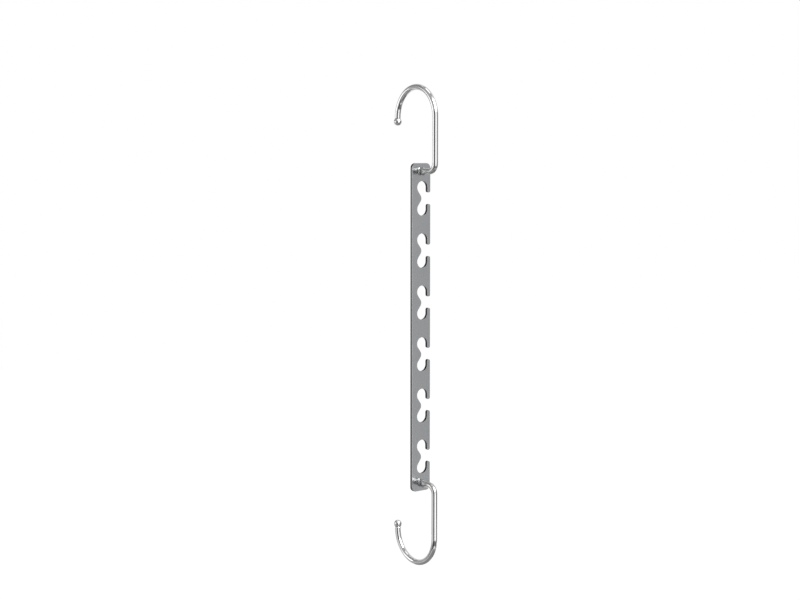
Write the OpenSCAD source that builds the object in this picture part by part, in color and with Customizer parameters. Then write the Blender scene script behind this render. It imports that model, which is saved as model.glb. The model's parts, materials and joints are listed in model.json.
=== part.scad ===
// Swivel-hook hanger bar: a flat slotted bar with a wire hook pinned at each end.
// Millimetres. +Z is up, +X is the side that the slots open on, and -Y is the front.
// The origin is the point under the upper hook's crown where the hook rests on a rod.

/* [Bar] */
// Width of the flat bar
bar_w = 18.7; // [16:0.1:26]
// Thickness of the flat bar
bar_t = 2.4; // [1.6:0.1:4]
// Radius of the bar's four corners
bar_corner_r = 4; // [1:0.5:7]
// From each end of the bar to the middle of the nearest slot
end_margin = 28.2; // [26:0.2:45]
// From each end of the bar to the middle of its pivot hole
pivot_inset = 6.5; // [5.5:0.1:9]

/* [Slots] */
// Number of slots
slot_count = 6; // [2:1:8]
// Distance between the middles of neighbouring slots
slot_pitch = 42; // [34:1:60]
// Radius of the round seat at each end of a slot
lobe_r = 5.2; // [4:0.1:5.4]
// From the middle of a slot to the middle of each round seat
lobe_offset = 8.7; // [8:0.1:10]
// Radius of the rounded crest between the two seats
crest_r = 4.2; // [3:0.1:5]
// Width of the prongs beside the mouth
prong_w = 3.05; // [2:0.05:3.8]
// Height of the mouth between the tips of the prongs
mouth_h = 9.3; // [8:0.1:11]

/* [Hooks] */
// Diameter of the hook's wire
wire_d = 4.8; // [3.6:0.1:6]
// Inner radius of the hook's crown, which goes over a rod
crown_r = 21.5; // [17:0.5:30]
// From the middle of the bar's thickness back to the middle of the crown
crown_back = 5.5; // [0:0.5:9]
// From the pivot to the height of the crown's middle
leg_h = 43.2; // [30:0.2:70]
// Radius of the bend between the pivot's stub and the leg, at the wire's middle
bend_r = 6.5; // [5:0.5:9]
// Straight run from the end of the crown to the middle of the ball
tail_l = 3.4; // [3:0.1:12]

/* [Ball tips] */
// Diameter of the ball on the hook's free end
ball_d = 6.6; // [6.2:0.1:12]
// Diameter of the wire's turned-down end inside the ball
spigot_d = 2.6; // [2:0.1:3.2]
// How deep the turned-down end goes past the ball's middle
spigot_past = 1.2; // [0.5:0.1:1.8]
// Space left in the ball's bore past the turned-down end
bore_relief = 0.3; // [0.1:0.1:0.5]
// From the ball's middle up to the flat that the wire's shoulder meets
seat_rise = 2.1; // [1.5:0.1:2.2]

/* [Swivel] */
// Gap all round the wire in its pivot hole
pivot_gap = 0.06; // [0.03:0.01:0.1]
// Gap between the bar's faces and what holds the wire along its axis
end_play = 0.3; // [0.2:0.05:0.6]
// Overall span of the two ears pinched out of the wire
ear_span = 6.9; // [6.4:0.1:8]
// Length of the ears along the wire
ear_l = 3.4; // [2.4:0.1:5]
// Thickness of the ears across the pinch
ear_t = 2.2; // [1.4:0.1:3]
// Depth of the dent that the pinching tool leaves on each side
dent = 0.6; // [0.2:0.1:0.8]
// Diameter of the peened head behind the bar
head_d = 7.8; // [7:0.1:10]
// Height of the peened head
head_h = 1.7; // [1:0.1:2.5]

/* [Hidden] */
$fn = 96;

// Sizes that follow from the ones above
wire_r = wire_d / 2;
arc_r = crown_r + wire_r;
bar_l = (slot_count - 1) * slot_pitch + 2 * end_margin;
bar_y = -crown_back;
leg_y = -arc_r;
crown_z = -crown_r;
upper_pivot_z = crown_z - leg_h;
bar_top_z = upper_pivot_z + pivot_inset;
bar_bottom_z = bar_top_z - bar_l;
lower_pivot_z = bar_bottom_z + pivot_inset;
hole_r = wire_r + pivot_gap;

// Places inside a slot, measured from its middle
wall_x = bar_w / 2 - prong_w;
lobe_x = wall_x - lobe_r;
tip_r = prong_w / 2;
tip_z = mouth_h / 2 + tip_r;

// A straight flank touches both the seat and the crest, and leans 3 across for every 4 up
flank_dir = [4 / 5, 3 / 5];
flank_l = (lobe_offset - (lobe_r + crest_r) * flank_dir[1]) / flank_dir[0];
crest_x = lobe_x - (lobe_r + crest_r) * flank_dir[0] + flank_l * flank_dir[1];
seat_touch = [lobe_x, lobe_offset] - lobe_r * flank_dir;
crest_touch = [crest_x, 0] + crest_r * flank_dir;

cut_over = 1;

colour_bar = "#949698";
colour_chrome = "#d4d6d9";

// A plate in the bar's plane: an outline of [x, z] points, as thick as the bar plus over
module in_bar_plane(over = 0) {
  translate([0, bar_y + bar_t / 2 + over, 0])
    rotate([90, 0, 0])
      linear_extrude(bar_t + 2 * over) children();
}

// A round plug square to the bar, at [x, z]
module bar_plug(x, z, r, over = 0) {
  translate([x, bar_y + bar_t / 2 + over, z])
    rotate([90, 0, 0])
      cylinder(r = r, h = bar_t + 2 * over);
}

// The bar before its slots are cut, with rounded corners
module bar_blank() {
  corner_x = bar_w / 2 - bar_corner_r;
  union() {
    in_bar_plane()
      translate([-bar_w / 2, bar_bottom_z + bar_corner_r])
        square([bar_w, bar_l - 2 * bar_corner_r]);
    in_bar_plane()
      translate([-corner_x, bar_bottom_z])
        square([2 * corner_x, bar_l]);
    for (side = [-1, 1]) {
      bar_plug(side * corner_x, bar_top_z - bar_corner_r, bar_corner_r);
      bar_plug(side * corner_x, bar_bottom_z + bar_corner_r, bar_corner_r);
    }
  }
}

// What is cut out between the two seats, with its straight flanks
module slot_neck() {
  in_bar_plane(cut_over)
    polygon([
      [wall_x, lobe_offset],
      [lobe_x, lobe_offset],
      seat_touch,
      crest_touch,
      [crest_touch[0], -crest_touch[1]],
      [seat_touch[0], -seat_touch[1]],
      [lobe_x, -lobe_offset],
      [wall_x, -lobe_offset]
    ]);
}

// The way in from the bar's edge, between two prongs with round tips
module slot_mouth() {
  difference() {
    in_bar_plane(cut_over)
      translate([wall_x - cut_over, -tip_z])
        square([prong_w + 2 * cut_over, 2 * tip_z]);
    for (side = [-1, 1]) {
      bar_plug(wall_x + tip_r, side * tip_z, tip_r, 2 * cut_over);
    }
  }
}

// One slot: a seat above, a seat below, a crest between them and a mouth on +X
module slot_cut() {
  difference() {
    union() {
      for (side = [-1, 1]) {
        bar_plug(lobe_x, side * lobe_offset, lobe_r, cut_over);
      }
      slot_neck();
      slot_mouth();
    }
    bar_plug(crest_x, 0, crest_r, 2 * cut_over);
  }
}

module slotted_bar() {
  color(colour_bar)
    difference() {
      bar_blank();
      for (i = [0 : slot_count - 1]) {
        translate([0, 0, bar_top_z - end_margin - i * slot_pitch]) slot_cut();
      }
      bar_plug(0, upper_pivot_z, hole_r, cut_over);
      bar_plug(0, lower_pivot_z, hole_r, cut_over);
    }
}

// The two ears pinched up and down out of the wire, just in front of the bar
module hook_ears() {
  ear_r = ear_l / 2;
  ear_y = bar_y - bar_t / 2 - end_play - ear_r;
  ear_z = ear_span / 2 - ear_r;
  translate([-ear_t / 2, ear_y, 0])
    rotate([90, 0, 90])
      linear_extrude(ear_t)
        translate([-ear_r, -ear_z])
          square([ear_l, 2 * ear_z]);
  for (side = [-1, 1]) {
    translate([-ear_t / 2, ear_y, side * ear_z])
      rotate([0, 90, 0])
        cylinder(r = ear_r, h = ear_t);
  }
}

// The hollows that the pinching tool leaves on the wire's two sides
module ear_dents() {
  tool_r = ear_l;
  ear_y = bar_y - bar_t / 2 - end_play - ear_l / 2;
  for (side = [-1, 1]) {
    translate([side * (wire_r - dent + tool_r), ear_y, -ear_span])
      cylinder(r = tool_r, h = 2 * ear_span);
  }
}

// The peened head behind the bar: a cap cut from a ball
module peened_head() {
  head_y = bar_y + bar_t / 2 + end_play;
  cap_r = (pow(head_d / 2, 2) + pow(head_h, 2)) / (2 * head_h);
  intersection() {
    translate([0, head_y + head_h - cap_r, 0]) sphere(r = cap_r);
    translate([0, head_y, 0])
      rotate([-90, 0, 0])
        cylinder(d = head_d + 2, h = head_h + 1);
  }
}

// The wire from the pivot to its shoulder at the ball, pointing up from a pivot at z = 0
module hook_wire() {
  stub_end_y = leg_y + bend_r;
  stub_start_y = bar_y + bar_t / 2 + end_play;
  ball_z = leg_h - tail_l;
  shoulder_z = ball_z + seat_rise;
  translate([0, stub_start_y, 0])
    rotate([90, 0, 0])
      cylinder(r = wire_r, h = stub_start_y - stub_end_y);
  translate([0, stub_end_y, bend_r])
    rotate([90, 0, -90])
      rotate_extrude(angle = 90, start = 270)
        translate([bend_r, 0]) circle(r = wire_r);
  translate([0, leg_y, bend_r])
    cylinder(r = wire_r, h = leg_h - bend_r);
  translate([0, 0, leg_h])
    rotate([90, 0, 90])
      rotate_extrude(angle = 180)
        translate([arc_r, 0]) circle(r = wire_r);
  translate([0, arc_r, shoulder_z])
    cylinder(r = wire_r, h = tail_l - seat_rise);
  translate([0, arc_r, ball_z - spigot_past])
    cylinder(d = spigot_d, h = seat_rise + spigot_past);
}

// One whole hook, pointing up from a pivot at z = 0
module hook() {
  difference() {
    union() {
      hook_wire();
      hook_ears();
      peened_head();
    }
    ear_dents();
  }
}

// The ball on the free end, with a flat seat and a blind bore for the wire's end
module ball_tip() {
  ball_z = leg_h - tail_l;
  difference() {
    translate([0, arc_r, ball_z]) sphere(d = ball_d);
    translate([0, arc_r, ball_z + seat_rise]) cylinder(r = ball_d, h = ball_d);
    translate([0, arc_r, ball_z - spigot_past - bore_relief])
      cylinder(d = spigot_d, h = ball_d);
  }
}

module upper_hook() {
  color(colour_chrome)
    translate([0, 0, upper_pivot_z]) hook();
}

module upper_ball_tip() {
  color(colour_chrome)
    translate([0, 0, upper_pivot_z]) ball_tip();
}

// The lower hook is the upper one mirrored top to bottom
module lower_hook() {
  color(colour_chrome)
    translate([0, 0, lower_pivot_z])
      mirror([0, 0, 1]) hook();
}

module lower_ball_tip() {
  color(colour_chrome)
    translate([0, 0, lower_pivot_z])
      mirror([0, 0, 1]) ball_tip();
}

slotted_bar();
upper_hook();
upper_ball_tip();
lower_hook();
lower_ball_tip();
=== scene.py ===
# %% [markdown]
# A cascading hanger bar: a flat pressed steel bar with a chrome wire hook pinned at each end.
# The imported CAD model is the frame. Every piece below is built in its place, in metres, and rides on
# the CAD body that carries it.

# %% Load the frame and keep its box
import json
import math

import bmesh
import bpy
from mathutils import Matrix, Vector


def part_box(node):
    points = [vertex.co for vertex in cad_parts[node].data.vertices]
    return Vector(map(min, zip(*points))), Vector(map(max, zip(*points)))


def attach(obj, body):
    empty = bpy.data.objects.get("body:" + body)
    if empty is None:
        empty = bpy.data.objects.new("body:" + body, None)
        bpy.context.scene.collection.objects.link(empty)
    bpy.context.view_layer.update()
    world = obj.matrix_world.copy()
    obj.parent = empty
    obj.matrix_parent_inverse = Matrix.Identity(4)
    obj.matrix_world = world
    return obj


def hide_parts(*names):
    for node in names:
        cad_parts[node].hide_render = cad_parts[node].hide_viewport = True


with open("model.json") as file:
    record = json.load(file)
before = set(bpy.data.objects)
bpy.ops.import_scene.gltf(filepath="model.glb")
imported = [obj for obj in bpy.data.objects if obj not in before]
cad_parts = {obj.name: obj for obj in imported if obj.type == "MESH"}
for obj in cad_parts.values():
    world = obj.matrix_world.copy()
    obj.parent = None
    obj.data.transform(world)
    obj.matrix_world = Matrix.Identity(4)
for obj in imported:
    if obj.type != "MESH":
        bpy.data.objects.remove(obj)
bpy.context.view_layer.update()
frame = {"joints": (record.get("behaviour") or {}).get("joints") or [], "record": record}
joints = {joint["name"]: joint for joint in frame["joints"]}

# %% [markdown]
# Sizes come from two places. What the frame knows, such as where the bar ends and where its
# pivots are, is read from the frame. What it can't say, such as the radius of a bend, is written
# once, in millimetres, the way a maker would give it.

# %% Sizes of the bar
MM = 0.001
bar_low, bar_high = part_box("slotted_bar")
bar_half_w = (bar_high.x - bar_low.x) / 2
bar_front_y = bar_low.y
bar_back_y = bar_high.y
middle_z = (bar_low.z + bar_high.z) / 2
upper_pivot_z = joints["upper_swivel"]["pos_m"][2]
lower_pivot_z = joints["lower_swivel"]["pos_m"][2]
print("bar %.1f mm wide, pivots %.1f mm apart" % (
    2 * bar_half_w / MM, (upper_pivot_z - lower_pivot_z) / MM))

# %% Places of the slots
# From a slot's middle to the middle of each of its two round seats
SEAT_OFFSET = 8.7 * MM
slot_mounts = [m for m in frame["record"]["mounts"] if m["name"].startswith("slot_")]
seat_r = slot_mounts[0]["dims"]["r_mm"] * MM
seat_x = slot_mounts[0]["pos_m"][0]
slot_mids = [m["pos_m"][2] + seat_r + SEAT_OFFSET for m in slot_mounts]
print("%d slots, seats of radius %.2f mm" % (len(slot_mids), seat_r / MM))

# %% [markdown]
# The camera stands where the photograph's camera stood: to the left of the bar's face, a little
# above its middle, about 1.2 m away. A lens this long keeps the bar's two edges nearly parallel.
# The camera looks at one point, with no roll and no lens shift.

# %% Camera
CAMERA_AT = Vector((-0.77298, -0.95980, -0.04826))
LOOKS_AT = Vector((-0.01287, 0.00465, -0.16829))
LENS_MM = 68.80
SENSOR_MM = 36.0

camera_data = bpy.data.cameras.new("camera")
camera_data.lens = LENS_MM
camera_data.sensor_width = SENSOR_MM
camera = bpy.data.objects.new("camera", camera_data)
bpy.context.scene.collection.objects.link(camera)
camera.location = CAMERA_AT
camera.rotation_euler = (LOOKS_AT - CAMERA_AT).to_track_quat("-Z", "Y").to_euler()
bpy.context.scene.camera = camera
print("camera is %.3f m from what it looks at" % (LOOKS_AT - CAMERA_AT).length)

# %% [markdown]
# The bar is blanked and pierced in a press, then tumbled, so all its edges are a little round.
# A box with a Bevel modifier would leave uneven corners around the slots. Here the outline is
# walked once, as arcs that run into each other, and each point keeps the direction that faces
# out of the metal. Insetting the outline along that direction then rounds every edge evenly.

# %% Arcs of an outline, with the radius that each point's edge is rounded to
ARC_STEP = math.radians(7.5)
LEAST_STEPS = 2
OUTER_EDGE_R = 0.3 * MM
SLOT_EDGE_R = 0.15 * MM
outer_edges = (OUTER_EDGE_R, OUTER_EDGE_R)
slot_edges = (SLOT_EDGE_R, SLOT_EDGE_R)


def arc(x, z, radius, start, end, hollow=False, edges=outer_edges):
    """Points (x, z, out_x, out_z, edge) from start to end in degrees; hollow has metal outside."""
    start, end = math.radians(start), math.radians(end)
    steps = max(LEAST_STEPS, round(abs(end - start) / ARC_STEP))
    side = -1 if hollow else 1
    points = []
    for i in range(steps + 1):
        angle = start + (end - start) * i / steps
        c, s = math.cos(angle), math.sin(angle)
        edge = edges[0] + (edges[1] - edges[0]) * i / steps
        points.append((x + radius * c, z + radius * s, side * c, side * s, edge))
    return points


print("a quarter turn takes", len(arc(0, 0, seat_r, 0, 90)), "points")

# %% The outline of one slot
CREST_R = 4.2 * MM
TIP_R = 1.525 * MM
MOUTH_HALF = 4.65 * MM
# A straight flank touches both the seat and the crest, and leans 3 across for every 4 up
FLANK_LEAN = math.degrees(math.atan2(3, 4))
flank_x = math.cos(math.radians(FLANK_LEAN))
flank_z = math.sin(math.radians(FLANK_LEAN))
flank_l = (SEAT_OFFSET - (seat_r + CREST_R) * flank_z) / flank_x
crest_x = seat_x - (seat_r + CREST_R) * flank_x + flank_l * flank_z


def slot_outline(mid):
    """One slot from the bar's right edge and back: a prong, a seat, the crest, a seat, a prong."""
    tip_x = bar_half_w - TIP_R
    tip_z = MOUTH_HALF + TIP_R
    return (
        arc(tip_x, mid + tip_z, TIP_R, 0, -180, edges=(OUTER_EDGE_R, SLOT_EDGE_R))
        + arc(seat_x, mid + SEAT_OFFSET, seat_r, 0, 180 + FLANK_LEAN, True, slot_edges)
        + arc(crest_x, mid, CREST_R, FLANK_LEAN, -FLANK_LEAN, False, slot_edges)
        + arc(seat_x, mid - SEAT_OFFSET, seat_r, 180 - FLANK_LEAN, 360, True, slot_edges)
        + arc(tip_x, mid - tip_z, TIP_R, 180, 0, edges=(SLOT_EDGE_R, OUTER_EDGE_R))
    )


print("the crest reaches x = %.2f mm" % ((crest_x + CREST_R) / MM))

# %% The whole outline and its two holes
CORNER_R = 4 * MM
HOLE_R = 2.46 * MM
corner_x = bar_half_w - CORNER_R

outline = arc(-corner_x, bar_high.z - CORNER_R, CORNER_R, 180, 90)
outline += arc(corner_x, bar_high.z - CORNER_R, CORNER_R, 90, 0)
for slot_mid in sorted(slot_mids, reverse=True):
    outline += slot_outline(slot_mid)
outline += arc(corner_x, bar_low.z + CORNER_R, CORNER_R, 0, -90)
outline += arc(-corner_x, bar_low.z + CORNER_R, CORNER_R, -90, -180)
holes = [arc(0, z, HOLE_R, 0, 360, True, slot_edges)[:-1] for z in (upper_pivot_z, lower_pivot_z)]
print("outline of", len(outline), "points")

# %% [markdown]
# The outline becomes a plate of stacked rings. Tumbling rounds the bar's outer edges most and
# hardly gets into the slots, and the back edge is rounded about a third as much as the front.

# %% Rings through the plate's thickness
BACK_EDGE_SHARE = 0.35
EDGE_STEPS = 5


def edge_profile():
    """(inset, drop, back) for a ring, in shares of its edge radius, from the front face to the back."""
    angles = [math.pi / 2 * i / EDGE_STEPS for i in range(EDGE_STEPS + 1)]
    front = [(1 - math.sin(angle), 1 - math.cos(angle), False) for angle in angles]
    back = [(BACK_EDGE_SHARE * (1 - math.cos(angle)), BACK_EDGE_SHARE * (1 - math.sin(angle)), True)
            for angle in angles]
    return front + back


def plate_point(point, inset, drop, back):
    """An outline point moved into the metal by its inset and in from its face by its drop."""
    x, z, out_x, out_z, edge = point
    y = bar_back_y - drop * edge if back else bar_front_y + drop * edge
    return (x - out_x * inset * edge, y, z - out_z * inset * edge)


print(len(edge_profile()), "rings from face to face")

# %% [markdown]
# Every piece here is a mesh made of rings. Bmesh builds such a mesh vertex by vertex, and two
# helpers do what repeats: one lays a band of quads between two rings, and the other turns the
# finished bmesh into a smooth object.

# %% Helpers for meshes
def bridge(bm, ring_a, ring_b):
    """Quads between two rings of as many vertices."""
    count = len(ring_a)
    for i in range(count):
        j = (i + 1) % count
        bm.faces.new((ring_a[i], ring_a[j], ring_b[j], ring_b[i]))


def link(name, bm):
    """Turns a bmesh into a smooth object in the scene."""
    bmesh.ops.recalc_face_normals(bm, faces=bm.faces)
    mesh = bpy.data.meshes.new(name)
    bm.to_mesh(mesh)
    bm.free()
    for polygon in mesh.polygons:
        polygon.use_smooth = True
    piece = bpy.data.objects.new(name, mesh)
    bpy.context.scene.collection.objects.link(piece)
    print(name, "has", len(mesh.polygons), "faces")
    return piece


# %% [markdown]
# The bar's two flat faces are filled as triangles, which leaves the slots and holes open. Smooth
# shading alone would bend the light on the flats near each rounded edge. A Weighted Normal
# modifier lets the largest faces decide, so the flats stay flat and only the edges shade round.

# %% The pressed bar
LARGE_FACES_DECIDE = 100


def pressed_plate(name, loops):
    """A plate whose walls follow the loops, rounded at its front and back edges."""
    bm = bmesh.new()
    front_edges, back_edges = [], []
    for loop in loops:
        rings = [
            [bm.verts.new(plate_point(point, *share)) for point in loop]
            for share in edge_profile()
        ]
        for ring_a, ring_b in zip(rings, rings[1:]):
            bridge(bm, ring_a, ring_b)
        for ring, edges in ((rings[0], front_edges), (rings[-1], back_edges)):
            edges += [bm.edges.get((ring[i - 1], ring[i])) for i in range(len(ring))]
    for edges in (front_edges, back_edges):
        bmesh.ops.triangle_fill(bm, use_beauty=True, edges=edges)
    return link(name, bm)


bar = pressed_plate("pressed_bar", [outline] + holes)
flats = bar.modifiers.new("flats stay flat", "WEIGHTED_NORMAL")
flats.weight = LARGE_FACES_DECIDE

# %% [markdown]
# Each hook is one length of round wire, bent in a plane. The wire is swept as rings along its
# centre line, so each ring can have its own width and height. That is how the two ears are made:
# a tool pinches the wire in front of the bar, and what is squeezed in sideways swells up and
# down. The other end of the shank is peened over into a low round head behind the bar.

# %% Sizes of the wire
WIRE_R = 2.4 * MM
BEND_R = 6.5 * MM
# The gap that keeps the ears and the head off the bar's faces, so that the hook can turn
END_PLAY = 0.3 * MM

ball_low, ball_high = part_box("upper_ball_tip")
ball_r = (ball_high.x - ball_low.x) / 2
crown_r = (ball_low.y + ball_high.y) / 2
leg_h = -(crown_r - WIRE_R) - upper_pivot_z
ball_rise = ball_low.z + ball_r - upper_pivot_z
print("crown radius %.2f mm, leg %.2f mm, ball %.2f mm across" % (
    crown_r / MM, leg_h / MM, 2 * ball_r / MM))

# %% One ring of wire, round or pinched
SIDES = 40
EAR_HALF_SPAN = 3.4 * MM
EAR_HALF_T = 1.15 * MM
DENT = 0.6 * MM
# The higher this power, the more of a pinched ring is dent and the less of it is ear
WING_POWER = 3


def wire_ring(y, z, lean, radius, pinch=0.0):
    """A ring at (y, z) square to the wire, whose cross direction leans from +Z by lean."""
    cross = Vector((0, -math.sin(lean), math.cos(lean)))
    points = []
    for i in range(SIDES):
        angle = 2 * math.pi * i / SIDES
        side, rise = math.cos(angle), math.sin(angle)
        wing = abs(rise) ** WING_POWER
        half_t = radius + pinch * (wing * (EAR_HALF_T - radius) - (1 - wing) * DENT)
        half_h = radius + pinch * (EAR_HALF_SPAN - radius)
        points.append(Vector((half_t * side, y, z)) + cross * half_h * rise)
    return points


ear_top = max(point.z for point in wire_ring(0, 0, 0, WIRE_R, pinch=1.0))
print("a fully pinched ring is %.1f mm high" % (2 * ear_top / MM))

# %% The peened head
HEAD_R = 3.9 * MM
HEAD_H = 1.7 * MM
HEAD_STEPS = 10
# The rim is rounded through these heights and insets, in shares of its radius
HEAD_RIM_R = 0.3 * MM
HEAD_RIM = ((0.5, 0.05), (0.1, 0.3), (0.0, 1.0))
# A small slope joins the head's flat to the shank
SLOPE_OUT = 0.2 * MM
SLOPE_ALONG = 0.15 * MM


def head_rings():
    """The peened head from its pole to the shank."""
    cap_r = (HEAD_R**2 + HEAD_H**2) / (2 * HEAD_H)
    base_y = bar_back_y + END_PLAY
    rim = math.asin((HEAD_R - HEAD_RIM_R) / cap_r)
    rings = []
    for i in range(1, HEAD_STEPS + 1):
        angle = rim * i / HEAD_STEPS
        y = base_y + HEAD_H - cap_r * (1 - math.cos(angle))
        rings.append(wire_ring(y, 0, 0, cap_r * math.sin(angle)))
    for height, inset in HEAD_RIM:
        rings.append(wire_ring(base_y + HEAD_RIM_R * height, 0, 0, HEAD_R - HEAD_RIM_R * inset))
    rings.append(wire_ring(base_y, 0, 0, WIRE_R + SLOPE_OUT))
    rings.append(wire_ring(base_y - SLOPE_ALONG, 0, 0, WIRE_R))
    return rings


print("head of", len(head_rings()), "rings")

# %% The ears in front of the bar
EAR_L = 3.4 * MM
EAR_STEPS = 18
# Below 1, the pinch comes in fast at both ends and stays nearly full between them
PINCH_POWER = 0.7


def ear_rings():
    """The pinched length of wire, from just in front of the bar."""
    rings = []
    for i in range(EAR_STEPS + 1):
        t = i / EAR_STEPS
        pinch = math.sin(math.pi * t) ** PINCH_POWER
        rings.append(wire_ring(bar_front_y - END_PLAY - EAR_L * t, 0, 0, WIRE_R, pinch))
    return rings


print("ears of", len(ear_rings()), "rings")

# %% The bend, the leg and the crown
BEND_STEPS = 20
CROWN_STEPS = 72


def bend_rings():
    """The quarter turn from the stub in front of the bar up into the leg."""
    stub_end_y = -crown_r + BEND_R
    rings = []
    for i in range(BEND_STEPS + 1):
        lean = math.pi / 2 * i / BEND_STEPS
        y = stub_end_y - BEND_R * math.sin(lean)
        rings.append(wire_ring(y, BEND_R * (1 - math.cos(lean)), -lean, WIRE_R))
    return rings


def crown_rings():
    """The half turn over the rod, whose first ring also ends the straight leg."""
    rings = []
    for i in range(CROWN_STEPS + 1):
        turn = math.pi * i / CROWN_STEPS
        y = -crown_r * math.cos(turn)
        rings.append(wire_ring(y, leg_h + crown_r * math.sin(turn), -math.pi / 2 - turn, WIRE_R))
    return rings


print("bend of", len(bend_rings()), "rings, crown of", len(crown_rings()))

# %% The shoulder and the thin end that goes into the ball
SPIGOT_R = 1.3 * MM
SPIGOT_PAST = 1.2 * MM
SEAT_RISE = 2.1 * MM
shoulder_z = ball_rise + SEAT_RISE
spigot_z = ball_rise - SPIGOT_PAST


def spigot_rings():
    """The wire's end, turned down to a spigot below the shoulder."""
    steps = ((shoulder_z, WIRE_R), (shoulder_z, SPIGOT_R), (spigot_z, SPIGOT_R))
    return [wire_ring(crown_r, z, -1.5 * math.pi, radius) for z, radius in steps]


print("spigot %.1f mm long" % ((shoulder_z - spigot_z) / MM))

# %% [markdown]
# The lower hook is the same wire turned over, so both are made by one function. A mirrored copy
# has its points turned over in the mesh, not by a negative scale, so that its normals stay right.

# %% Both wires
def at_pivot(points, pivot_z, up):
    """Points of an upright shape moved to a pivot, turned over where up is -1."""
    return [Vector((p.x, p.y, pivot_z + up * p.z)) for p in points]


def swept(name, rings, start_pole, end_pole):
    """Bridges the rings and closes both ends at a pole."""
    bm = bmesh.new()
    verts = [[bm.verts.new(point) for point in ring] for ring in rings]
    for ring_a, ring_b in zip(verts, verts[1:]):
        bridge(bm, ring_a, ring_b)
    for ring, pole in ((verts[0], start_pole), (verts[-1], end_pole)):
        tip = bm.verts.new(pole)
        for i in range(len(ring)):
            bm.faces.new((ring[i - 1], ring[i], tip))
    return link(name, bm)


def hook_piece(name, pivot_z, up):
    """One wire, from the peened head to the spigot's end."""
    upright = head_rings() + ear_rings() + bend_rings() + crown_rings() + spigot_rings()
    rings = [at_pivot(ring, pivot_z, up) for ring in upright]
    poles = [Vector((0, bar_back_y + END_PLAY + HEAD_H, 0)), Vector((0, crown_r, spigot_z))]
    return swept(name, rings, *at_pivot(poles, pivot_z, up))


upper_wire = hook_piece("upper_wire", upper_pivot_z, 1)
lower_wire = hook_piece("lower_wire", lower_pivot_z, -1)

# %% [markdown]
# A ball is pressed on each free end so that the wire can't scratch or snag. It is turned, so it
# is made like a lathe part: half an outline, spun round the wire's axis. The outline goes round
# the outside, over a softened rim, across the flat where the wire's shoulder lands, and down the
# blind bore that grips the wire's thin end.

# %% Half an outline of a ball
BALL_STEPS = 30
BORE_RELIEF = 0.3 * MM
RIM_SOFTENING = 0.15 * MM
# Where the softened rim bends, in shares of the softening: inwards, and down from the flat
RIM_BEND_IN = 0.3
RIM_BEND_DOWN = 0.2
bore_end = -SPIGOT_PAST - BORE_RELIEF


def ball_outline():
    """(radius, height) pairs from the ball's pole to the bottom of its bore."""
    rim = math.asin(SEAT_RISE / ball_r)
    last = rim - RIM_SOFTENING / ball_r
    pairs = []
    for i in range(1, BALL_STEPS + 1):
        angle = -math.pi / 2 + (last + math.pi / 2) * i / BALL_STEPS
        pairs.append((ball_r * math.cos(angle), ball_r * math.sin(angle)))
    flat_r = ball_r * math.cos(rim)
    pairs.append((flat_r - RIM_SOFTENING * RIM_BEND_IN, SEAT_RISE - RIM_SOFTENING * RIM_BEND_DOWN))
    pairs.append((flat_r - RIM_SOFTENING, SEAT_RISE))
    pairs.append((SPIGOT_R, SEAT_RISE))
    pairs.append((SPIGOT_R, bore_end))
    return pairs


print("half outline of", len(ball_outline()), "points")

# %% The balls
def ball_piece(name, pivot_z, up):
    """The outline spun round the wire's axis, on the free end of a hook."""
    rings = []
    for radius, height in ball_outline():
        turns = [2 * math.pi * i / SIDES for i in range(SIDES)]
        ring = [Vector((radius * math.cos(a), crown_r + radius * math.sin(a), ball_rise + height))
                for a in turns]
        rings.append(at_pivot(ring, pivot_z, up))
    poles = [Vector((0, crown_r, ball_rise - ball_r)), Vector((0, crown_r, ball_rise + bore_end))]
    return swept(name, rings, *at_pivot(poles, pivot_z, up))


upper_ball = ball_piece("upper_ball", upper_pivot_z, 1)
lower_ball = ball_piece("lower_ball", lower_pivot_z, -1)

# %% [markdown]
# Each piece now takes the place of its CAD node and rides on that node's body.

# %% Bodies and replaced nodes
for piece, node, body, finish in (
    (bar, "slotted_bar", "bar_body", "bar_steel"),
    (upper_wire, "upper_hook", "upper_hook_body", "hook_chrome"),
    (upper_ball, "upper_ball_tip", "upper_hook_body", "hook_chrome"),
    (lower_wire, "lower_hook", "lower_hook_body", "hook_chrome"),
    (lower_ball, "lower_ball_tip", "lower_hook_body", "hook_chrome"),
):
    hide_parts(node)
    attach(piece, body)
    print(piece.name, "rides on", body)

# %% [markdown]
# Materials are node trees. Colours are written as sRGB hex, as a colour picker shows them, and
# one function turns them to the linear values that the shader works in. One other function adds
# a node, sets its inputs and links it, so that each material reads as a list of what it does.

# %% Helpers for materials
def linear(hex_colour):
    """An sRGB hex colour as linear RGBA."""
    values = [int(hex_colour[i:i + 2], 16) / 255 for i in (1, 3, 5)]
    return [v / 12.92 if v <= 0.04045 else ((v + 0.055) / 1.055) ** 2.4 for v in values] + [1.0]


def add(tree, kind, inputs=(), **settings):
    """Adds a node; inputs maps a socket's name or number to a value or to another node's socket."""
    node = tree.nodes.new(kind)
    for key, value in settings.items():
        setattr(node, key, value)
    for key, value in dict(inputs).items():
        if isinstance(value, bpy.types.NodeSocket):
            tree.links.new(value, node.inputs[key])
        else:
            node.inputs[key].default_value = value
    return node


def new_material(name):
    """An empty material, its node tree and its output node."""
    material = bpy.data.materials.new(name)
    material.use_nodes = True
    tree = material.node_tree
    tree.nodes.clear()
    return material, tree, add(tree, "ShaderNodeOutputMaterial")


print("half way up the sRGB scale is %.3f in linear light" % linear("#808080")[0])
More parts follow.
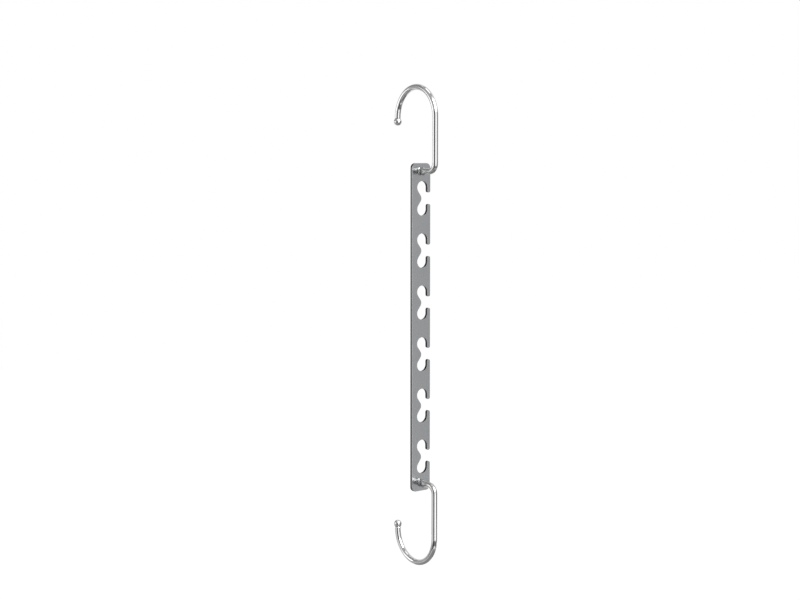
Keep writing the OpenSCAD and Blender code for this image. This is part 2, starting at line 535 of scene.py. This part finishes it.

# %% [markdown]
# The wire is mild steel with bright chromium plate. Plate follows what is under it, so up close
# it shows a little orange peel, a few microns deep, and it is otherwise a mirror. Chromium is a
# slightly cool, pale metal, and sends back little more than half of the light that meets it.
# Near the bar the plate is duller, where the pinching tool's clamp held the wire, and its colour is
# painted a little darker there as painted shade. A metal keeps the shader's own IOR.

# %% Bright chromium plate
# Real orange peel is nearer 1 mm across, and is drawn wider here so that it shows
ORANGE_PEEL = 4 * MM
PEEL_DEPTH = 0.002 * MM
PLATE_HAZE = (0.07, 0.1)
CLAMP_HAZE = 0.22
CLAMP_AND_SHADE_FADE = 5 * MM
# Nearly all of a noise texture lies between these two levels
NOISE_LOW = 0.3
NOISE_HIGH = 0.7
# Measured from the bar's middle, the clamp's duller plate and the painted shade end one wire radius
# past the pivot
clamp_and_shade_reach = upper_pivot_z - middle_z + WIRE_R


def bright_chromium():
    """A mirror with a little orange peel, which turns duller and is painted darker towards the bar as
    painted shade.
    """
    material, tree, output = new_material("bright_chromium_plate")
    place = add(tree, "ShaderNodeTexCoord").outputs["Object"]
    peel = add(tree, "ShaderNodeTexNoise", {"Vector": place, "Scale": 1 / ORANGE_PEEL, "Detail": 1.0})
    plate_haze = add(tree, "ShaderNodeMapRange", {
        "Value": peel.outputs["Fac"], "From Min": NOISE_LOW, "From Max": NOISE_HIGH,
        "To Min": PLATE_HAZE[0], "To Max": PLATE_HAZE[1]})

    height = add(tree, "ShaderNodeSeparateXYZ", {0: place}).outputs["Z"]
    above = add(tree, "ShaderNodeMath", {0: height, 1: middle_z}, operation="SUBTRACT")
    from_middle = add(tree, "ShaderNodeMath", {0: above.outputs[0]}, operation="ABSOLUTE")
    clamp_and_painted_shade = add(tree, "ShaderNodeMapRange", {
        "Value": from_middle.outputs[0], "From Min": clamp_and_shade_reach + CLAMP_AND_SHADE_FADE, "From Max": clamp_and_shade_reach})

    # Towards the bar the colour is painted darker, as painted shade on the stub and ears
    colour = add(tree, "ShaderNodeMix", {
        "Factor": clamp_and_painted_shade.outputs[0], 6: linear("#C9C9CA"), 7: linear("#B8B7B6")}, data_type="RGBA")
    haze = add(tree, "ShaderNodeMix", {
        "Factor": clamp_and_painted_shade.outputs[0], 2: plate_haze.outputs[0], 3: CLAMP_HAZE}, data_type="FLOAT")
    bump = add(tree, "ShaderNodeBump", {
        "Height": peel.outputs["Fac"], "Strength": 1.0, "Distance": PEEL_DEPTH})
    shader = add(tree, "ShaderNodeBsdfPrincipled", {
        "Base Color": colour.outputs[2], "Metallic": 1.0,
        "Roughness": haze.outputs[0], "Normal": bump.outputs[0]})
    tree.links.new(shader.outputs[0], output.inputs["Surface"])
    return material


chromium = bright_chromium()
for piece in (upper_wire, upper_ball, lower_wire, lower_ball):
    piece.data.materials.append(chromium)
print(chromium.name, "has", len(chromium.node_tree.nodes), "nodes")

# %% [markdown]
# The bar is pressed steel with satin nickel plate: grey, slightly cool, and soft enough in its
# reflections to show the wire beside each pivot only as a streak. Three things change over it.
# The faces carry a very fine grain along the bar from rolling. The tumbled edges are rubbed a little
# brighter. The walls that the press sheared are duller and darker, with fine marks through the
# thickness, and all but the two long outer walls are painted darker still, as painted shade inside the
# slots and pivot holes that also takes in the two end walls.

# %% Fine textures of the bar
# Rolling leaves lines under 0.1 mm across, which are drawn wider here so that they show
GRAIN_ACROSS = 0.35 * MM
GRAIN_ALONG = 24 * MM
CLOUD = 14 * MM
SHEAR_MARK = 0.3 * MM
SHEAR_STRETCH = 0.12


def bar_textures(tree, place):
    """Noise levels of the rolled grain, the slow clouds in the plate and the sheared marks."""
    along = add(tree, "ShaderNodeMapping", {
        "Vector": place, "Scale": (1 / GRAIN_ACROSS, 1 / GRAIN_ACROSS, 1 / GRAIN_ALONG)})
    grain = add(tree, "ShaderNodeTexNoise", {"Vector": along.outputs[0], "Scale": 1.0, "Detail": 3.0})
    cloud = add(tree, "ShaderNodeTexNoise", {"Vector": place, "Scale": 1 / CLOUD, "Detail": 3.0})
    through = add(tree, "ShaderNodeMapping", {
        "Vector": place, "Scale": (1 / SHEAR_MARK, SHEAR_STRETCH / SHEAR_MARK, 1 / SHEAR_MARK)})
    shear = add(tree, "ShaderNodeTexNoise", {"Vector": through.outputs[0], "Scale": 1.0, "Detail": 2.0})
    return grain.outputs["Fac"], cloud.outputs["Fac"], shear.outputs["Fac"]


print("sheared marks %.1f mm long" % (SHEAR_MARK / SHEAR_STRETCH / MM))

# %% [markdown]
# Faces, edges and walls are told apart by which way the metal faces: a face looks straight along Y, a
# wall looks square to it, and a tumbled edge lies between. The two long outer walls are told from the
# slots' walls and the ends by their distance from the bar's middle line, and the rest get painted
# shade.

# %% Masks for the edges and the walls
EDGE_FACING = (0.98, 0.80)
WALL_FACING = (0.55, 0.15)
OUTER_WALL_DEPTH = 0.5 * MM


def bar_masks(tree, place):
    """Three masks: the rounded edges, the sheared walls, and all but the two long outer walls, which
    get painted shade.
    """
    normal = add(tree, "ShaderNodeNewGeometry").outputs["Normal"]
    facing = add(tree, "ShaderNodeSeparateXYZ", {0: normal}).outputs["Y"]
    flat = add(tree, "ShaderNodeMath", {0: facing}, operation="ABSOLUTE").outputs[0]
    edge = add(tree, "ShaderNodeMapRange", {
        "Value": flat, "From Min": EDGE_FACING[0], "From Max": EDGE_FACING[1]})
    wall = add(tree, "ShaderNodeMapRange", {
        "Value": flat, "From Min": WALL_FACING[0], "From Max": WALL_FACING[1]})
    x = add(tree, "ShaderNodeSeparateXYZ", {0: place}).outputs["X"]
    across = add(tree, "ShaderNodeMath", {0: x}, operation="ABSOLUTE").outputs[0]
    painted_shade_inside = add(tree, "ShaderNodeMapRange", {
        "Value": across, "From Min": bar_half_w, "From Max": bar_half_w - OUTER_WALL_DEPTH})
    return edge.outputs[0], wall.outputs[0], painted_shade_inside.outputs[0]


print("an edge starts %.0f degrees off the face" % math.degrees(math.acos(EDGE_FACING[0])))

# %% Satin nickel plate on pressed steel
FACE_HAZE = (0.2, 0.24)
WALL_HAZE = 0.36
RELIEF = 0.001 * MM


def satin_nickel():
    """Grey satin plate, brighter on rubbed edges, darker on sheared walls, and with painted shade on
    the walls of the slots, holes and ends.
    """
    material, tree, output = new_material("satin_nickel_on_pressed_steel")
    place = add(tree, "ShaderNodeTexCoord").outputs["Object"]
    grain, cloud, shear = bar_textures(tree, place)
    edge, wall, painted_shade_inside = bar_masks(tree, place)

    face_colour = add(tree, "ShaderNodeMix", {
        "Factor": cloud, 6: linear("#B3B5B7"), 7: linear("#BBBDBF")}, data_type="RGBA")
    rubbed = add(tree, "ShaderNodeMix", {
        "Factor": edge, 6: face_colour.outputs[2], 7: linear("#BABCBE")}, data_type="RGBA")
    # All but the two long outer walls are painted darker still: painted shade inside the slots and
    # pivot holes, which also takes in the two end walls
    wall_and_painted_shade_colour = add(tree, "ShaderNodeMix", {
        "Factor": painted_shade_inside, 6: linear("#5F6163"), 7: linear("#303234")}, data_type="RGBA")
    colour = add(tree, "ShaderNodeMix", {
        "Factor": wall, 6: rubbed.outputs[2], 7: wall_and_painted_shade_colour.outputs[2]}, data_type="RGBA")

    face_haze = add(tree, "ShaderNodeMapRange", {
        "Value": grain, "From Min": NOISE_LOW, "From Max": NOISE_HIGH,
        "To Min": FACE_HAZE[0], "To Max": FACE_HAZE[1]})
    haze = add(tree, "ShaderNodeMix", {
        "Factor": wall, 2: face_haze.outputs[0], 3: WALL_HAZE}, data_type="FLOAT")
    relief = add(tree, "ShaderNodeMix", {"Factor": wall, 2: grain, 3: shear}, data_type="FLOAT")
    bump = add(tree, "ShaderNodeBump", {
        "Height": relief.outputs[0], "Strength": 1.0, "Distance": RELIEF})
    shader = add(tree, "ShaderNodeBsdfPrincipled", {
        "Base Color": colour.outputs[2], "Metallic": 1.0,
        "Roughness": haze.outputs[0], "Normal": bump.outputs[0]})
    tree.links.new(shader.outputs[0], output.inputs["Surface"])
    return material


nickel = satin_nickel()
bar.data.materials.append(nickel)
print(nickel.name, "has", len(nickel.node_tree.nodes), "nodes")

# %% [markdown]
# Metal shows what is around it more than what lights it. The world is plain white to the camera
# and to reflections, and a little lower as light. It is the same all round, so Cycles need not
# look for bright places in it.

# %% World
WORLD_LIGHT = 0.8


def white_where_seen(tree, light_level):
    """1 for camera, glossy and transmission rays, and the light level for the rest."""
    path = add(tree, "ShaderNodeLightPath")
    seen = add(tree, "ShaderNodeMath", {
        0: path.outputs["Is Camera Ray"], 1: path.outputs["Is Glossy Ray"]}, operation="MAXIMUM")
    seen = add(tree, "ShaderNodeMath", {
        0: seen.outputs[0], 1: path.outputs["Is Transmission Ray"]}, operation="MAXIMUM")
    return add(tree, "ShaderNodeMapRange", {
        "Value": seen.outputs[0], "To Min": light_level, "To Max": 1.0}).outputs[0]


world = bpy.data.worlds.new("white_studio")
bpy.context.scene.world = world
world.use_nodes = True
world.cycles.sampling_method = "NONE"
world.node_tree.nodes.clear()
sky = add(world.node_tree, "ShaderNodeBackground", {
    "Color": linear("#FFFFFF"), "Strength": white_where_seen(world.node_tree, WORLD_LIGHT)})
add(world.node_tree, "ShaderNodeOutputWorld", {"Surface": sky.outputs[0]})
print("the world lights at", WORLD_LIGHT, "of white")

# %% [markdown]
# The floor is pale, and far below the bar, because a closet rod is more than a metre up. The
# object's soft shadow falls there. A little glow, for the camera and reflections alone, lifts the
# floor to the white of the world behind it.

# %% Floor
FLOOR_Z = -1.1
FLOOR_HALF = 6.0
FLOOR_GLOW = 0.3


def pale_floor():
    """Matt pale paint with a little glow where it is seen."""
    material, tree, output = new_material("pale_floor")
    paint = add(tree, "ShaderNodeBsdfDiffuse", {"Color": linear("#F2F2F2")})
    glow = add(tree, "ShaderNodeMath", {
        0: white_where_seen(tree, 0.0), 1: FLOOR_GLOW}, operation="MULTIPLY")
    lift = add(tree, "ShaderNodeEmission", {"Color": linear("#FFFFFF"), "Strength": glow.outputs[0]})
    both = add(tree, "ShaderNodeAddShader", {0: paint.outputs[0], 1: lift.outputs[0]})
    tree.links.new(both.outputs[0], output.inputs["Surface"])
    return material


def level_square(name, half, z):
    """A square that lies flat, from half its side and its height."""
    bm = bmesh.new()
    corners = [(-half, -half, z), (half, -half, z), (half, half, z), (-half, half, z)]
    bm.faces.new([bm.verts.new(corner) for corner in corners])
    return link(name, bm)


floor = level_square("floor", FLOOR_HALF, FLOOR_Z)
floor.data.materials.append(pale_floor())
print("the floor is %.2f m below the bar" % (bar_low.z - FLOOR_Z))

# %% [markdown]
# Chrome in plain white looks like white paint. A photographer stands grey cards and soft boxes
# around it, and their reflections draw the dark and bright lines along the wire. A line's place
# says where its card stands: a point at a share s of the wire's radius mirrors what is at twice
# asin(s) from the camera. Only reflections see the cards, so they hide nothing in any view.

# %% Places around the bar, as the camera sees them
camera_turn = math.degrees(math.atan2(CAMERA_AT.x - LOOKS_AT.x, -(CAMERA_AT.y - LOOKS_AT.y)))


def from_camera(turn, away, height):
    """The point at a turn in degrees to the camera's right, so far from the bar, at a height."""
    angle = math.radians(camera_turn + turn)
    return Vector((math.sin(angle) * away, -math.cos(angle) * away, height))


print("the camera stands %.1f degrees round from the bar's face" % camera_turn)

# %% One grey card
CARD_STEPS = 12


def grey(name, hex_colour):
    """A flat grey that glows by itself, so that no lamp changes it."""
    material, tree, output = new_material(name)
    glow = add(tree, "ShaderNodeEmission", {"Color": linear(hex_colour), "Strength": 1.0})
    tree.links.new(glow.outputs[0], output.inputs["Surface"])
    # A card is no lamp, so Cycles need not aim at it
    material.cycles.emission_sampling = "NONE"
    return material


def make_card(card, hex_colour):
    """Gives a card its grey and leaves it to reflections alone."""
    card.data.materials.append(grey(card.name + "_grey", hex_colour))
    card.visible_camera = False
    card.visible_diffuse = False
    card.visible_shadow = False
    card.visible_transmission = False


def bent_card(name, first, last, near, far, hex_colour):
    """A card bent round the bar from turn to turn; near and far are its edges as (away, height)."""
    bm = bmesh.new()
    columns = []
    for i in range(CARD_STEPS + 1):
        turn = first + (last - first) * i / CARD_STEPS
        columns.append([bm.verts.new(from_camera(turn, away, z)) for away, z in (near, far)])
    for left, right in zip(columns, columns[1:]):
        bm.faces.new((left[0], right[0], right[1], left[1]))
    make_card(link(name, bm), hex_colour)


# %% Cards that stand around the bar
CARD_AWAY = 1.9
CARD_FOOT = -1.0
CARD_HEAD = 0.5


def standing_card(name, first, last, low, high, hex_colour):
    """A card that stands upright from one height to another."""
    bent_card(name, first, last, (CARD_AWAY, low), (CARD_AWAY, high), hex_colour)


# Each row gives two turns in degrees, then two heights in metres
standing_card("card_by_camera", -41, -3, CARD_FOOT, CARD_HEAD, "#464646")
standing_card("card_left_far", -132, -98, CARD_FOOT, CARD_HEAD, "#C6C6C6")
standing_card("card_right_near", 61, 86, -0.80, 0.4, "#D2D2D2")
standing_card("card_right_far", 86, 118, -0.4, CARD_HEAD, "#848484")
standing_card("card_right_low", 84, 118, CARD_FOOT, -0.4, "#404040")

# %% Cards that lean in over the bar
# How far the upper edge of a leaning card is from the bar, and its height
LEAN_TOP = (1.2, 2.0)
ABOVE_Z = 1.61


def leaning_card(name, first, last, hex_colour):
    """A card that leans in from the heads of the standing ones."""
    bent_card(name, first, last, (CARD_AWAY, CARD_HEAD), LEAN_TOP, hex_colour)


# Each row gives two turns in degrees
leaning_card("card_over_left", -90, -14, "#C6C6C6")
leaning_card("card_over_back", -152, -90, "#A4A4A4")
bent_card("card_above", 0, 360, (0.35, ABOVE_Z), (0.75, ABOVE_Z), "#ACACAC")

# %% Cards that lie below the bar
MIDDLE_CARD_Z = -1.05


def lying_card(name, first, last, inner, outer, hex_colour):
    """A card that lies flat from one distance to another."""
    bent_card(name, first, last, (inner, CARD_FOOT), (outer, CARD_FOOT), hex_colour)


# Each row gives two turns in degrees, then two distances from the bar in metres
lying_card("card_floor_by_camera", -41, -3, 0.8, CARD_AWAY, "#464646")
lying_card("card_floor_left", -95, -41, 0.9, CARD_AWAY, "#8C8C8C")
lying_card("card_floor_right", -3, 105, 0.9, CARD_AWAY, "#8C8C8C")
lying_card("card_floor_far_right", 105, 150, 0.5, 1.3, "#484848")
lying_card("card_floor_far_left", -130, -95, 0.7, 1.25, "#9C9C9C")
bent_card("card_floor_middle", 0, 360, (0.02, MIDDLE_CARD_Z), (0.75, MIDDLE_CARD_Z), "#A4A4A4")

# %% [markdown]
# Four soft boxes give the wire its white lines. They are large, so that no highlight is harsh,
# and their power is worked out from how bright they should look, where 1 is white. The high one
# makes the wire bright enough to show in the bar's face as a white streak beside each pivot. It
# would wash out the face's own grey, so a flag keeps it off the bar, which light linking does.

# %% Soft boxes
def soft_box(name, turn, height, away, width, tall, looks, only_on=None):
    """An area lamp aimed at the bar's middle, or level from below it; only_on is all that it lights."""
    data = bpy.data.lights.new(name, "AREA")
    data.shape = "RECTANGLE"
    data.size = width
    data.size_y = tall
    data.energy = looks * math.pi * width * tall
    lamp = bpy.data.objects.new(name, data)
    bpy.context.scene.collection.objects.link(lamp)
    lamp.location = from_camera(turn, away, height)
    aim = Vector((0, 0, min(height, middle_z))) - lamp.location
    lamp.rotation_euler = aim.to_track_quat("-Z", "Y").to_euler()
    lamp.visible_camera = False
    if only_on:
        lamp.light_linking.receiver_collection = only_on
    print(name, "%.0f W" % data.energy)


wires_and_balls = bpy.data.collections.new("wires_and_balls")
for piece in (upper_wire, upper_ball, lower_wire, lower_ball):
    wires_and_balls.objects.link(piece)

soft_box("soft_box_above", turn=0, height=1.6, away=0.0, width=0.7, tall=0.7, looks=1.8)
soft_box("soft_box_high", turn=42, height=1.15, away=1.5, width=1.7, tall=1.5, looks=7.0,
         only_on=wires_and_balls)
soft_box("soft_box_right", turn=32, height=-0.25, away=1.85, width=0.85, tall=1.5, looks=1.35)
soft_box("soft_box_left", turn=-90, height=0.0, away=1.85, width=0.7, tall=0.7, looks=1.9)

# %% [markdown]
# Colours are shown as they are, with no film curve.

# %% View
bpy.context.scene.view_settings.view_transform = "Standard"
